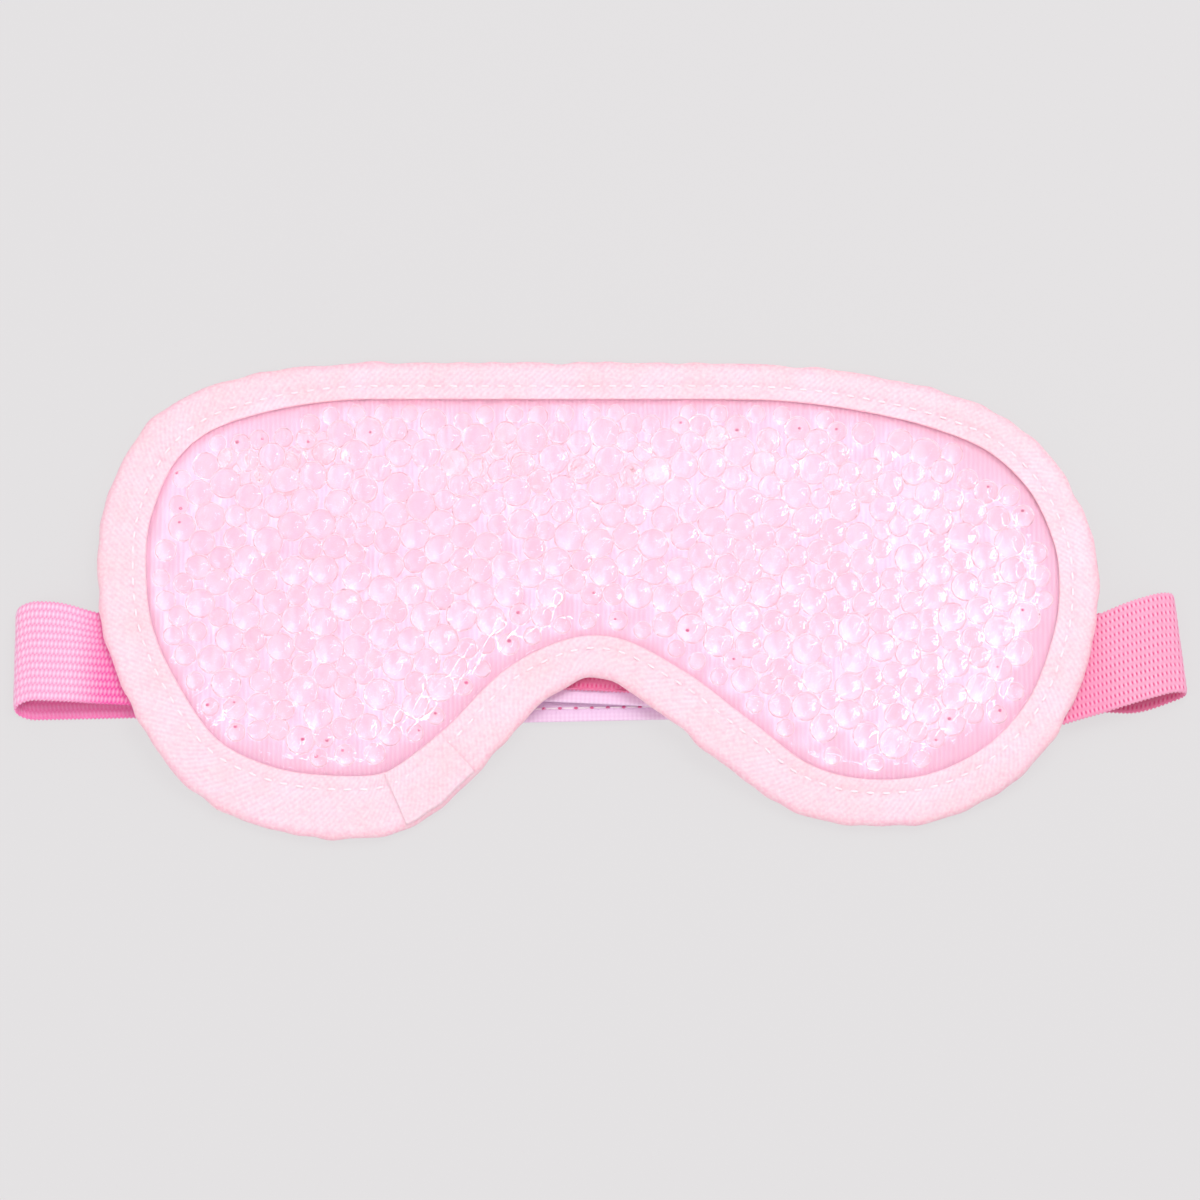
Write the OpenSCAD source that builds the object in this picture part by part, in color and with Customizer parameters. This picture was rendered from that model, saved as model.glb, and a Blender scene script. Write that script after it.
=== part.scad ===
// Gel bead eye mask with two elastic straps that close behind the head.
// The mask lies on its back: +Z comes out of the clear gel face, +Y is the forehead side.
// The origin is on the surface that it lies on, under the middle of its box.

/* [Mask] */
// Length of the mask between its left and right ends, without the straps
mask_length = 200; // [190:1:210]
// Height of the mask from forehead edge to lobe edge
mask_height = 97.5; // [94:0.5:102]
// Height of the gel face over the surface that the mask lies on
mask_thickness = 12; // [11.5:0.1:14]
// How far the bound edge is lifted off that surface
edge_lift = 0.4; // [0.3:0.1:0.6]
// Distance from the seam over which the gel face rises to its full height
face_rise = 9; // [8:0.5:12]

/* [Layers] */
// Thickness of each clear film
film = 0.3; // [0.2:0.05:0.4]
// Thickness of the knitted back panel
panel = 1; // [0.8:0.1:1.2]
// Thickness of the binding tape
tape = 0.4; // [0.3:0.1:0.6]
// Air gap between the binding and the layers that it wraps
slack = 0.2; // [0.15:0.05:0.3]

/* [Gel beads] */
// Diameter of a gel bead
bead_d = 5; // [4.6:0.1:5.2]
// Distance between the centres of neighbouring beads
bead_pitch = 5.3; // [5.3:0.1:6]

/* [Stitching] */
// Length from one stitch to the next
stitch_pitch = 3.2; // [2.4:0.2:5]
// Diameter of the sewing thread
thread_d = 0.3; // [0.2:0.05:0.4]
// Distance of the seam from the inner edge of the binding
seam_inset = 2.4; // [1.5:0.1:4]

/* [Straps] */
// Width of the knitted elastic
elastic_w = 20; // [15:1:22]
// Thickness of the knitted elastic
elastic_t = 1; // [0.8:0.1:1.2]
// Distance from the middle of the mask to each fold of the elastic
fold_x = 114.4; // [110:0.2:120]
// How far the tip of the left strap reaches past the middle of the mask
left_reach = 34; // [30:1:40]
// How far the tip of the right strap reaches past the middle of the mask
right_reach = 17; // [10:1:17]
// Turn of the left strap under the mask, in degrees
left_turn = 1.2; // [0:0.2:1.6]
// Turn of the right strap under the mask, in degrees
right_turn = 2.7; // [1.5:0.3:3]

/* [Closure tapes] */
// Width of the hook tape and of the loop tape
closure_w = 25; // [20:1:25]
// Length of the loop tape on the left strap
loop_length = 62; // [50:1:64]
// Length of the hook tape on the right strap
hook_length = 50; // [40:1:60]
// Thickness of the woven base of each tape
closure_base = 0.4; // [0.3:0.1:0.5]
// Height of the hooks or loops on that base
closure_pile = 0.5; // [0.4:0.1:0.5]
// Width of the plain selvedge along each tape
selvedge = 2; // [1.5:0.5:3]

/* [Hidden] */
$fn = 48;

// Colours of the parts
film_colour = [0.93, 0.86, 0.92];
bead_colour = [0.98, 0.84, 0.92];
panel_colour = [0.98, 0.72, 0.86];
binding_colour = [0.99, 0.87, 0.92];
thread_colour = [0.97, 0.80, 0.88];
elastic_colour = [0.96, 0.56, 0.74];
closure_colour = [0.91, 0.75, 0.90];

// Stations across the mask: x, y of the forehead edge, y of the lower edge, and the width
// of binding that shows along each of them, all for the nominal length and height
stations = [
    [-100, 7.4, 7.4, 9.4, 9.4], [-98.5, 19.8, -7.6, 9.4, 9.4], [-93, 32.5, -21.6, 9.2, 9.8],
    [-83, 41, -36.4, 8.6, 10.4], [-69, 45.5, -44.5, 8, 11.2], [-53, 47.5, -47.5, 7.4, 11.8],
    [-38, 47.8, -45.6, 7.4, 11.4], [-24, 47.8, -35, 7.4, 10.4], [-12, 47.8, -22, 7.4, 9.4],
    [0, 47.8, -16.2, 7.4, 8], [12, 47.8, -23, 7.4, 9.2], [24, 47.6, -32.5, 7.2, 9.6],
    [38, 47.2, -41.7, 7.2, 9], [53, 45.5, -45, 7.4, 8.6], [69, 42, -43.5, 7.6, 8.6],
    [83, 36, -36.4, 7.6, 8.4], [93, 26, -24.6, 7.6, 8], [98.5, 13.4, -9.6, 7.6, 7.6],
    [100, 2.2, 2.2, 7.6, 7.6]];
nominal_length = 200;
nominal_height = 96;
steps = 3; // points of the outline from one station to the next
rings = [0, 0.12, 0.27, 0.45, 0.7, 1]; // rings of a layer inside the seam, as shares of face_rise
seam_gap = 0.6; // distance that a layer stays level inside the seam
ribs = 8; // strips of a layer's middle between the lower edge and the forehead edge

// The straps' tails and closure tapes lie in a band under the mask, which arches over them
band_low = -28;
band_high = 6;
low_slope = 18; // width of the slope from the band down to the lobes
high_slope = 24; // width of the slope from the band down to the forehead edge
closure_gap = 0.2; // play between the hooks and the loops
stack = 2 * (elastic_t + closure_base + closure_pile) + closure_gap;
arch = stack + edge_lift + 0.4; // height of the bound edge over the band

fold_r = arch / 2; // outer radius of each fold in the elastic
run_z = arch - elastic_t; // underside of the runs that are sewn to the mask
right_z = stack - elastic_t; // underside of the right strap where it lies on the left one
sewn_x = 89; // inner end of the runs, under the binding
left_run_y = -12; // middle of the left run
right_run_y = [-15.4, -9.8]; // middle of the right run at the mask and at its fold
left_tail_y = -14.4; // middle of the left tail at its fold
right_tail_y = -14.2; // middle of the right tail at its fold
left_split_x = -40; // where the left tail meets the end that the stretch moves
right_split_x = 46; // where the right tail meets the end that the stretch moves
ramp_x = [66, 94]; // where the right tail climbs onto the left strap
tail_start = elastic_w / 2 * sin(right_turn) + 0.05; // keeps a turned tail's corner off its fold

function ease(t) = let (u = max(0, min(1, t))) u * u * (3 - 2 * u);

// Height of the underside of the bound edge at distance y from the middle
function edge_z(y) = edge_lift + (arch - edge_lift)
    * ease((y - band_low + low_slope) / low_slope)
    * ease((band_high + high_slope - y) / high_slope);

// Catmull-Rom spline through the rows of a table, ends handled by the two given rows
function spline(p0, p1, p2, p3, t) = 0.5 * (2 * p1 + (p2 - p0) * t
    + (2 * p0 - 5 * p1 + 4 * p2 - p3) * t * t + (3 * p1 - p0 - 3 * p2 + p3) * t * t * t);

// One closed run of [x, y, binding width], clockwise from the left end
last = len(stations) - 1;
upper = [for (s = stations) [s[0], s[1], s[3]]];
lower = [for (i = [last - 1:-1:1]) let (s = stations[i]) [s[0], s[2], s[4]]];
knots = concat(upper, lower);
function knot(i) = knots[(i + len(knots)) % len(knots)];
function scaled(p) = [p[0] * mask_length / nominal_length,
    p[1] * mask_height / nominal_height, p[2]];
outline = [for (i = [0:len(knots) - 1], k = [0:steps - 1])
    scaled(spline(knot(i - 1), knot(i), knot(i + 1), knot(i + 2), k / steps))];
count = len(outline);
function point(i) = outline[(i + count) % count];
function xy(p) = [p[0], p[1]];
function unit(v) = v / norm(v);

// Inward normal of the outline at a point, and the point a distance in from it
function inward(i) = let (v = unit(xy(point(i + 1)) - xy(point(i - 1)))) [v[1], -v[0]];
function inset(i, d) = xy(point(i)) + d * inward(i);
seam = [for (i = [0:count - 1]) inset(i, point(i)[2])];

// Distance from a point to a piece of the seam, and inwards from the seam as a whole
function to_piece(p, a, b) = let (v = b - a, t = max(0, min(1, (p - a) * v / (v * v))))
    norm(p - a - t * v);
function crossings(p) = [for (i = [0:count - 1])
    let (a = seam[i], b = seam[(i + 1) % count])
    if ((a[1] > p[1]) != (b[1] > p[1])
        && p[0] < a[0] + (p[1] - a[1]) / (b[1] - a[1]) * (b[0] - a[0])) 1];
function seam_distance(p) = len(crossings(p)) % 2 == 0 ? 0
    : min([for (i = [0:count - 1]) to_piece(p, seam[i], seam[(i + 1) % count])]);

// Heights of the layers: each is level under the binding and changes inside the seam
panel_edge = tape + slack; // underside of the panel over the underside of the edge
film_edge = panel_edge + panel + film; // where the two films are welded together
panel_drop = edge_lift + panel_edge; // how far the panel sags inside the seam
sag = 4; // distance from the seam over which the panel sags
function face_z(p, d) = let (z = edge_z(p[1]) + film_edge + film)
    z + (mask_thickness - z) * sin(90 * min(1, d / face_rise));
function panel_z(p, d) = edge_z(p[1]) + panel_edge - panel_drop * ease(d / sag);

// Points of a layer: its edge inside the binding's fold, rings inside the seam, then ribs
// across the middle. Each is [x, y, distance inside the seam].
layer_inset = 0.8;
half = last * steps;
function ring_point(i, in, rise) = let (q = inset(i, in)) [q[0], q[1], rise];
inner = [for (i = [0:count - 1]) ring_point(i, point(i)[2] + seam_gap + face_rise, face_rise)];
plan = concat([for (i = [0:count - 1]) ring_point(i, layer_inset, 0)],
    [for (i = [0:count - 1]) ring_point(i, point(i)[2], 0)],
    [for (r = rings, i = [0:count - 1])
        ring_point(i, point(i)[2] + seam_gap + r * face_rise, r * face_rise)],
    [for (i = [1:half - 1], j = [1:ribs - 1])
        inner[count - i] + (inner[i] - inner[count - i]) * j / ribs]);
function ring_at(i, k) = k * count + i % count;
bands = len(rings) + 1;
function rib_at(i, j) = i == 0 || i == half ? ring_at(i, bands)
    : j == 0 ? ring_at(count - i, bands) : j == ribs ? ring_at(i, bands)
    : (bands + 1) * count + (i - 1) * (ribs - 1) + j - 1;
function whole(f) = f[0] != f[1] && f[1] != f[2] && f[0] != f[2];
mesh = concat(
    [for (k = [0:bands - 1], i = [0:count - 1])
        let (a = ring_at(i, k), b = ring_at(i + 1, k),
            c = ring_at(i + 1, k + 1), d = ring_at(i, k + 1))
        each [[a, b, c], [a, c, d]]],
    [for (i = [0:half - 1], j = [0:ribs - 1])
        let (a = rib_at(i, j), b = rib_at(i, j + 1), c = rib_at(i + 1, j + 1), d = rib_at(i + 1, j))
        for (f = [[a, b, c], [a, c, d]]) if (whole(f)) f]);

// A closed layer between two lists of heights over the plan
module layer(under, over) {
    n = len(plan);
    points = concat([for (i = [0:n - 1]) [plan[i][0], plan[i][1], under[i]]],
        [for (i = [0:n - 1]) [plan[i][0], plan[i][1], over[i]]]);
    sides = [for (i = [0:count - 1]) let (a = i, b = (i + 1) % count)
        each [[a, b, b + n], [a, b + n, a + n]]];
    polyhedron(points, concat([for (f = mesh) [f[0], f[2], f[1]]], [for (f = mesh) f + [n, n, n]],
        sides), convexity = 6);
}
function face(lift) = [for (p = plan) lift + face_z(p, p[2])];
function back(lift) = [for (p = plan) lift + panel_z(p, p[2])];

// Tube of sections, closed on itself or capped at both ends. Of each section's sides, those
// in turned have the diagonals of their faces the other way, so that the tube's walls stay
// parallel to the layers between them where the edge slopes.
module wrap(sections, closed, turned) {
    n = len(sections);
    m = len(sections[0]);
    sides = [for (i = [0:(closed ? n : n - 1) - 1], k = [0:m - 1])
        let (a = i * m + k, b = i * m + (k + 1) % m,
            c = ((i + 1) % n) * m + k, d = ((i + 1) % n) * m + (k + 1) % m)
        each len(search(k, turned)) > 0 ? [[a, b, c], [b, d, c]] : [[a, b, d], [a, d, c]]];
    caps = closed ? [] : [[for (k = [m - 1:-1:0]) k], [for (k = [0:m - 1]) (n - 1) * m + k]];
    polyhedron([for (s = sections) each s], concat(sides, caps), convexity = 8);
}

// A section across the bound edge: places are [distance inwards, height over its underside]
function section(i, places) = [for (q = places) let (p = inset(i, q[0]))
    [p[0], p[1], edge_z(p[1]) + q[1]]];
binding_h = film_edge + film + slack + tape; // height of the folded binding
wall = 0.5; // thickness of the binding's fold
bevel = 0.8; // how far the fold is rounded off
function fold_places(w) = [[w, 0], [bevel, 0], [0, bevel], [0, binding_h - bevel],
    [bevel, binding_h], [w, binding_h], [w, binding_h - tape], [wall, binding_h - tape],
    [wall, tape], [w, tape]];

// Places along the stitch line, [x, y, direction], one for each stitch
line = [for (i = [0:count]) let (j = i % count) inset(j, point(j)[2] - seam_inset)];
lengths = [for (i = 0, s = 0; i <= count; s = s + (i < count ? norm(line[i + 1] - line[i]) : 0),
    i = i + 1) s];
stitches = floor(lengths[count] / stitch_pitch);
places = [for (k = [0:stitches - 1]) let (s = (k + 0.5) * lengths[count] / stitches,
    i = max([for (i = [0:count - 1]) if (lengths[i] <= s) i]), v = line[i + 1] - line[i],
    p = line[i] + v * (s - lengths[i]) / norm(v)) [p[0], p[1], atan2(v[1], v[0])]];

// One stitch lying on a surface, its ends rounded off to a bar of thread
module stitch(length) {
    translate([-length / 2, 0, thread_d / 2])
        rotate([0, 90, 0])
            cylinder(h = length, d = thread_d, $fn = 16);
}

module seam_stitches(lift) {
    for (p = places) {
        rise = edge_z(p[1] + 0.5 * sin(p[2])) - edge_z(p[1] - 0.5 * sin(p[2]));
        translate([p[0], p[1], edge_z(p[1]) + lift])
            rotate([0, 0, p[2]])
                rotate([0, -atan(rise), 0])
                    stitch(stitch_pitch * 0.7);
    }
}

module front_film() {
    color(film_colour, 0.4) layer(face(-film), face(0));
}

module back_film() {
    color(film_colour, 0.6) layer(back(panel), back(panel + film));
}

module back_panel() {
    color(panel_colour) layer(back(0), back(panel));
}

// Beads lie against the gel face, and a second layer fills the pouch where it is deep enough
bead_play = 0.3;
bead_z = mask_thickness - film - bead_play - bead_d / 2;
bead_drop = bead_pitch * sqrt(2 / 3);
bead_row = bead_pitch * sin(60);
bead_edge = seam_gap + 0.95 * face_rise;
function bead_places(shift) = [
    for (j = [-10:12], i = [-19:19])
        let (p = [(i + (j % 2 == 0 ? 0 : 0.5)) * bead_pitch, j * bead_row + shift])
        if (seam_distance(p) >= bead_edge) p];

module gel_beads() {
    color(bead_colour) {
        for (p = bead_places(0))
            translate([p[0], p[1], bead_z]) sphere(d = bead_d);
        for (p = bead_places(bead_pitch / sqrt(3)))
            if (bead_z - bead_drop - bead_d / 2 > panel_z(p, sag) + panel + film + bead_play)
                translate([p[0], p[1], bead_z - bead_drop]) sphere(d = bead_d);
    }
}

module edge_binding() {
    color(binding_colour)
        wrap([for (i = [0:count - 1]) section(i, fold_places(point(i)[2]))], true, [0, 6]);
}

// The raw end of the binding is turned under and lies over its beginning
lap_station = 7; // station of the lower edge that the lap is nearest to
lap_t = 0.5;
lap_z = binding_h + 0.1;
lap_in = seam_inset + 1; // distance of the lap from the inner edge of the binding
module binding_lap() {
    first = (2 * last - lap_station) * steps;
    color(binding_colour)
        wrap([for (i = [first:first + 2]) section(i, [
            [point(i)[2] - lap_in, lap_z], [bevel, lap_z],
            [bevel, lap_z + lap_t], [point(i)[2] - lap_in, lap_z + lap_t]])], false, [0]);
}

module needle_thread() {
    color(thread_colour) seam_stitches(binding_h + 0.1);
}

module bobbin_thread() {
    color(thread_colour) seam_stitches(-thread_d - 0.05);
}

// Run of elastic from the mask to its fold, from the middle of one end to that of the other
module run(from, to) {
    translate([0, 0, run_z])
        linear_extrude(elastic_t)
            polygon([from - [0, elastic_w / 2], to - [0, elastic_w / 2],
                to + [0, elastic_w / 2], from + [0, elastic_w / 2]]);
}

module left_strap_run() {
    color(elastic_colour) run([-sewn_x, left_run_y], [-fold_x, left_run_y]);
}

module right_strap_run() {
    color(elastic_colour) run([sewn_x, right_run_y[0]], [fold_x, right_run_y[1]]);
}

// Half turn of elastic, open towards the mask
module strap_fold(x, y, side) {
    translate([x, y + elastic_w / 2, fold_r])
        rotate([90, 0, 0])
            linear_extrude(elastic_w)
                difference() {
                    circle(fold_r);
                    circle(fold_r - elastic_t);
                    translate([side > 0 ? -2 * fold_r : 0, -2 * fold_r])
                        square([2 * fold_r, 4 * fold_r]);
                }
}

module left_strap_fold() {
    color(elastic_colour) strap_fold(-fold_x, (left_run_y + left_tail_y) / 2, -1);
}

module right_strap_fold() {
    color(elastic_colour) strap_fold(fold_x, (right_run_y[1] + right_tail_y) / 2, 1);
}

// Zigzag bar of thread across the sewn end of a strap, on its underside
module strap_tack(x, y) {
    tack_w = elastic_w - 3;
    bars = 11;
    slant = 12;
    for (k = [0:bars - 1])
        translate([x, y + tack_w * (k / (bars - 1) - 0.5), run_z - thread_d - 0.05])
            rotate([0, 0, k % 2 == 0 ? slant : -slant])
                stitch(3.6);
}

module left_strap_tack() {
    color(thread_colour) strap_tack(-sewn_x - 3.5, left_run_y);
}

module right_strap_tack() {
    color(thread_colour) strap_tack(sewn_x + 3.5, right_run_y[0]);
}

// Strips under the mask are drawn along their own strap, whose zero is at the fold
module on_left() {
    translate([-fold_x, left_tail_y, 0]) rotate([0, 0, left_turn]) children();
}

module on_right() {
    translate([fold_x, right_tail_y, 0]) rotate([0, 0, -right_turn]) mirror([1, 0, 0]) children();
}

// Strip of a given width with a profile of [distance along the strap, height]
module strip(profile, width) {
    translate([0, width / 2, 0])
        rotate([90, 0, 0])
            linear_extrude(width)
                polygon(profile);
}

module bar(from, to, low, high, width) {
    strip([[from, low], [to, low], [to, high], [from, high]], width);
}

module left_strap_tail() {
    color(elastic_colour) on_left() bar(tail_start, fold_x + left_split_x, 0, elastic_t, elastic_w);
}

module left_strap_end() {
    color(elastic_colour) on_left()
        bar(fold_x + left_split_x, fold_x + left_reach, 0, elastic_t, elastic_w);
}

module right_strap_tail() {
    foot = fold_x - ramp_x[1];
    head = fold_x - ramp_x[0];
    end = fold_x - right_split_x;
    color(elastic_colour) on_right()
        strip([[tail_start, 0], [foot, 0], [head, right_z], [end, right_z],
            [end, right_z + elastic_t], [head, right_z + elastic_t], [foot, elastic_t],
            [tail_start, elastic_t]], elastic_w);
}

module right_strap_end() {
    color(elastic_colour) on_right()
        bar(fold_x - right_split_x, fold_x + right_reach, right_z, right_z + elastic_t, elastic_w);
}

// Woven tape with its field of hooks or loops between two plain selvedges
module closure(to, length, base_z, pile_z) {
    bar(to - length, to, base_z, base_z + closure_base, closure_w);
    bar(to - length + 0.5, to - 0.5, pile_z, pile_z + closure_pile, closure_w - 2 * selvedge);
}

loop_z = elastic_t;
hook_z = right_z - closure_base;
tip = 1; // how far the tapes stay inside the ends of the elastic

module loop_tape() {
    color(closure_colour) on_left()
        closure(fold_x + left_reach - tip, loop_length, loop_z, loop_z + closure_base);
}

module hook_tape() {
    color(closure_colour) on_right()
        closure(fold_x + right_reach - tip, hook_length, hook_z, hook_z - closure_pile);
}

// Two rows of stitches that hold a closure tape, one along each edge of the elastic
row_inset = 0.4;
row_end = 2; // distance from the ends of the tape to its first and last stitch
module closure_stitches(to, length, z) {
    number = floor((length - 2 * row_end) / stitch_pitch);
    for (k = [0:number - 1], side = [-1, 1])
        translate([to - length + row_end + (k + 0.5) * stitch_pitch,
            side * (elastic_w / 2 - row_inset), z])
            stitch(stitch_pitch * 0.7);
}

module loop_tape_stitches() {
    color(thread_colour) on_left()
        closure_stitches(fold_x + left_reach - tip, loop_length, 0);
}

module hook_tape_stitches() {
    color(thread_colour) on_right()
        closure_stitches(fold_x + right_reach - tip, hook_length, right_z + elastic_t - thread_d);
}

front_film();
back_film();
gel_beads();
back_panel();
edge_binding();
binding_lap();
needle_thread();
bobbin_thread();
left_strap_run();
right_strap_run();
left_strap_fold();
right_strap_fold();
left_strap_tack();
right_strap_tack();
left_strap_tail();
right_strap_tail();
left_strap_end();
loop_tape();
loop_tape_stitches();
right_strap_end();
hook_tape();
hook_tape_stitches();
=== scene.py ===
"""Looks of a gel bead eye mask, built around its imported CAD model.

Lengths in this file are millimetres until a mesh is made. Z is up, out of the gel face.
"""

import math

import bmesh
import bpy
import numpy as np
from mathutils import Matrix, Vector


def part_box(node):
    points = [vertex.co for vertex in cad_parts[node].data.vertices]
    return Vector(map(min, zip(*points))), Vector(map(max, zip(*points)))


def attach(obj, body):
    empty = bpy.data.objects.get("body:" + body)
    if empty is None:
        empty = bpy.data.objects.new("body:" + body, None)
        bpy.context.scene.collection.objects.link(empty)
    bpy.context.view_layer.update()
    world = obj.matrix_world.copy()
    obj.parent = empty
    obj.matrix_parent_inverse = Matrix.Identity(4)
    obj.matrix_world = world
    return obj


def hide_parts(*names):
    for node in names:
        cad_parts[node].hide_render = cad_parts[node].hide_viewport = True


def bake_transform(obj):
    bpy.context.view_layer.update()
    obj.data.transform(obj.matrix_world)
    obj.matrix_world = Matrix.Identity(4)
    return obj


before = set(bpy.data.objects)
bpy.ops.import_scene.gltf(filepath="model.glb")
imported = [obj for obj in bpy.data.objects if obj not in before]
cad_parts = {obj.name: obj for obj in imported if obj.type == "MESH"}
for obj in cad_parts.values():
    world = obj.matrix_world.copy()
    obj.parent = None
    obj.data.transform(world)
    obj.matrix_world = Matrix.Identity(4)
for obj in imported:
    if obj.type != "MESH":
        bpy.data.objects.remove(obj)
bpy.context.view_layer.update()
MM = 0.001
rng = np.random.default_rng(7)


# ---------------------------------------------------------------- camera, light and floor

SCREEN = 240.0  # width of the frame at the mask
LENS, SENSOR = 200.0, 36
AIM = np.array([0.0004, -0.0006, 0.005])  # metres
ELEVATION = math.radians(79.5)


def camera():
    data = bpy.data.cameras.new("camera")
    data.lens = LENS
    data.sensor_width = SENSOR
    data.clip_start = 0.05
    data.clip_end = 20
    cam = bpy.data.objects.new("camera", data)
    bpy.context.scene.collection.objects.link(cam)
    distance = LENS * SCREEN / SENSOR * MM
    cam.location = AIM + distance * np.array([0, -math.cos(ELEVATION), math.sin(ELEVATION)])
    cam.rotation_euler = (math.pi / 2 - ELEVATION, 0, 0)
    bpy.context.scene.camera = cam


def lamp(name, place, target, size, power, mirrored=True, lighting=True):
    """Soft lamp; it can be left out of shiny surfaces, or show in nothing but them."""
    data = bpy.data.lights.new(name, "AREA")
    data.shape = "RECTANGLE"
    data.size, data.size_y = size
    data.energy = power
    lamp_object = bpy.data.objects.new(name, data)
    bpy.context.scene.collection.objects.link(lamp_object)
    lamp_object.location = place
    lamp_object.visible_glossy = mirrored
    lamp_object.visible_diffuse = lighting
    aim = Vector(target) - Vector(place)
    lamp_object.rotation_euler = aim.to_track_quat("-Z", "Y").to_euler()


def surroundings():
    scene = bpy.context.scene
    scene.view_settings.view_transform = "Standard"
    scene.cycles.transparent_max_bounces = 40
    scene.cycles.max_bounces = 16
    scene.cycles.transmission_bounces = 14
    world = bpy.data.worlds.new("world")
    scene.world = world
    world.use_nodes = True
    back = world.node_tree.nodes["Background"]
    back.inputs["Color"].default_value = (1.0, 0.985, 0.99, 1)
    back.inputs["Strength"].default_value = 0.69
    lamp("key", (0.22, 0.34, 1.0), (0, 0, 0), (0.4, 0.5), 3.75, mirrored=False)
    lamp("fill", (-0.5, -0.2, 1.0), (0, 0, 0), (0.5, 0.8), 1.0, mirrored=False)
    lamp("streak", (0.62, -0.22, 0.85), (0, 0, 0), (1.6, 0.07), 6.5, lighting=False)
    lamp("strip_left", (-0.55, -0.25, 0.22), (0, 0, 0), (0.02, 0.7), 0.5)
    lamp("strip_right", (0.3, 0.2, 0.35), (0, 0, 0), (0.02, 0.5), 0.3)
    lamp("low", (-0.05, -0.55, 0.1), (0, 0, 0.01), (0.3, 0.03), 0.3)
    mesh = bpy.data.meshes.new("floor")
    side, z = 3.0, -0.0002
    mesh.from_pydata([(-side, -side, z), (side, -side, z), (side, side, z), (-side, side, z)],
                     [], [(0, 1, 2, 3)])
    floor = bpy.data.objects.new("floor", mesh)
    scene.collection.objects.link(floor)
    material = bpy.data.materials.new("floor")
    material.use_nodes = True
    shader = material.node_tree.nodes["Principled BSDF"]
    shader.inputs["Base Color"].default_value = (0.09, 0.089, 0.0895, 1)
    shader.inputs["Roughness"].default_value = 0.9
    shader.inputs["Specular IOR Level"].default_value = 0.0
    shader.inputs["Emission Color"].default_value = (0.776, 0.760, 0.768, 1)
    shader.inputs["Emission Strength"].default_value = 0.87
    mesh.materials.append(material)


# ---------------------------------------------------------------- meshes

def grid_corners(rows, cols, close_rows=False, close_cols=False):
    """Row and column of the four corners of each face of a grid."""
    r, c = np.meshgrid(np.arange(rows if close_rows else rows - 1),
                       np.arange(cols if close_cols else cols - 1), indexing="ij")
    return (np.stack([r, r + 1, r + 1, r], -1).reshape(-1, 4),
            np.stack([c, c, c + 1, c + 1], -1).reshape(-1, 4))


def piece(name, points, faces, material, uv=None, relief=None, smooth=True):
    """Mesh object from points in mm and faces of one size; uv is per corner, in mm."""
    mesh = bpy.data.meshes.new(name)
    points = np.asarray(points, dtype=np.float64).reshape(-1, 3) * MM
    faces = np.asarray(faces, dtype=np.int32)
    size = faces.shape[1]
    corner = points[faces[:, [0, 1, 2, 0, size - 2, size - 1]]]
    # The signed volume is negative where the faces look inwards
    volume = 0
    for k in ((0, 3) if size > 3 else (0,)):
        normals = np.cross(corner[:, k + 1], corner[:, k + 2])
        volume = volume + np.einsum("nk,nk->", corner[:, k], normals)
    if volume < 0:
        faces = faces[:, ::-1]
        uv = None if uv is None else np.asarray(uv).reshape(len(faces), size, 2)[:, ::-1]
    mesh.vertices.add(len(points))
    mesh.vertices.foreach_set("co", points.ravel())
    mesh.loops.add(faces.size)
    mesh.loops.foreach_set("vertex_index", faces.ravel())
    mesh.polygons.add(len(faces))
    mesh.polygons.foreach_set("loop_start", np.arange(0, faces.size, size, dtype=np.int32))
    mesh.polygons.foreach_set("use_smooth", np.full(len(faces), smooth))
    mesh.update(calc_edges=True)
    mesh.validate()
    if uv is not None:
        mesh.uv_layers.new(name="UVMap").data.foreach_set(
            "uv", np.asarray(uv, dtype=np.float32).ravel())
    if relief is not None:
        mesh.attributes.new("relief", "FLOAT", "POINT").data.foreach_set(
            "value", np.asarray(relief, dtype=np.float32).ravel())
    mesh.materials.append(material)
    thing = bpy.data.objects.new(name, mesh)
    bpy.context.scene.collection.objects.link(thing)
    return thing


def strip_faces(rows, cols):
    """Faces round a strip whose rows hold its upper points, then its lower ones backwards."""
    r, c = grid_corners(rows, 2 * cols, close_cols=True)
    j = np.arange(cols - 1)
    cap = np.stack([j, j + 1, 2 * cols - 2 - j, 2 * cols - 1 - j], 1)
    return np.vstack([r * 2 * cols + c % (2 * cols), cap, cap[:, ::-1] + (rows - 1) * 2 * cols])


def copies(template, faces, centres, axes):
    """Copies of a template; axes holds the three directions of each copy, as rows."""
    points = centres[:, None, :] + np.einsum("tk,nkj->ntj", template, axes)
    steps = np.arange(len(centres))[:, None, None] * len(template)
    return points.reshape(-1, 3), (faces[None] + steps).reshape(-1, faces.shape[1])


def capsule(length, radius, sides=8):
    """Bar of thread along X with drawn-in ends."""
    x = np.array([-0.5, -0.44, -0.25, 0, 0.25, 0.44, 0.5]) * length
    r = np.array([0.15, 0.7, 1, 1.05, 1, 0.7, 0.15]) * radius
    turn = np.arange(sides) * 2 * np.pi / sides
    ring = np.stack([np.zeros(sides), np.cos(turn), np.sin(turn)], -1)
    points = ring[None] * r[:, None, None] + np.stack([x, 0 * x, 0 * x], -1)[:, None]
    rows, cols = grid_corners(len(x), sides, close_cols=True)
    return points.reshape(-1, 3), rows * sides + cols % sides


def tube(path, radius, sides=6):
    """Points and faces of a round thread along a path."""
    path = np.asarray(path, dtype=float)
    along = np.gradient(path, axis=0)
    along /= np.linalg.norm(along, axis=1)[:, None]
    side = np.cross(along, [0.13, 0.07, 1.0])
    side /= np.linalg.norm(side, axis=1)[:, None]
    up = np.cross(side, along)
    turn = np.arange(sides) * 2 * np.pi / sides
    points = (path[:, None] + radius * (np.cos(turn)[None, :, None] * side[:, None]
                                        + np.sin(turn)[None, :, None] * up[:, None]))
    rows, cols = grid_corners(len(path), sides, close_cols=True)
    return points.reshape(-1, 3), rows * sides + cols % sides


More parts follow.
